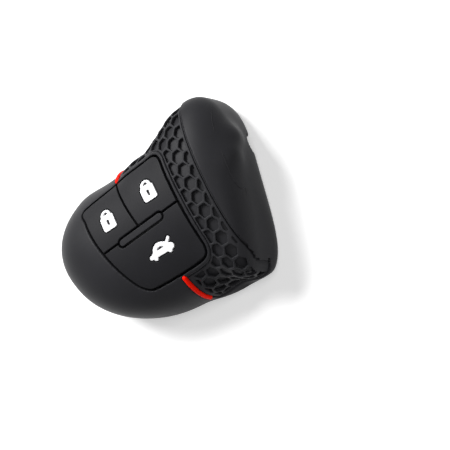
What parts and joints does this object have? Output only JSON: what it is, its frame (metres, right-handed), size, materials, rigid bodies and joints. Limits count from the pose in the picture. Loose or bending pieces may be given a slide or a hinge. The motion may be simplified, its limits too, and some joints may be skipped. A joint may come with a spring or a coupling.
{
  "type": "key fob cover",
  "caption": "Moulded silicone key fob cover, open at the back, with sprung button pads, a honeycomb grip band at the waist and a flared end.",
  "frame": {"origin": "centre of the bounding box in plan, on the flat back lip", "axes": "+X from the rounded tail to the flared end, +Y toward the two small pads, +Z out of the button side"},
  "size_m": [0.067, 0.0509, 0.022],
  "materials": {
    "black_silicone": "satin moulded silicone",
    "grip_silicone": "matt moulded silicone",
    "pad_silicone": "matt moulded silicone",
    "red_silicone": "satin moulded silicone",
    "white_silicone": "matt moulded silicone"
  },
  "bodies": {
    "cover": {"cover_shell": "black_silicone", "grip_band": "grip_silicone", "centre_bar": "black_silicone", "upper_accent": "red_silicone", "lower_accent": "red_silicone"},
    "lock_button": {"lock_pad": "pad_silicone", "lock_icon": "white_silicone"},
    "unlock_button": {"unlock_pad": "pad_silicone", "unlock_icon": "white_silicone"},
    "trunk_button": {"trunk_pad": "pad_silicone", "trunk_icon": "white_silicone"}
  },
  "joints": [
    {"name": "lock_press", "type": "slide", "parent": "cover", "child": "lock_button", "axis": [0, 0, -1], "range_m": [0, 0.0008], "stiffness_N_per_m": 2000},
    {"name": "unlock_press", "type": "slide", "parent": "cover", "child": "unlock_button", "axis": [0, 0, -1], "range_m": [0, 0.0008], "stiffness_N_per_m": 2000},
    {"name": "trunk_press", "type": "slide", "parent": "cover", "child": "trunk_button", "axis": [0, 0, -1], "range_m": [0, 0.0008], "stiffness_N_per_m": 2000}
  ]
}
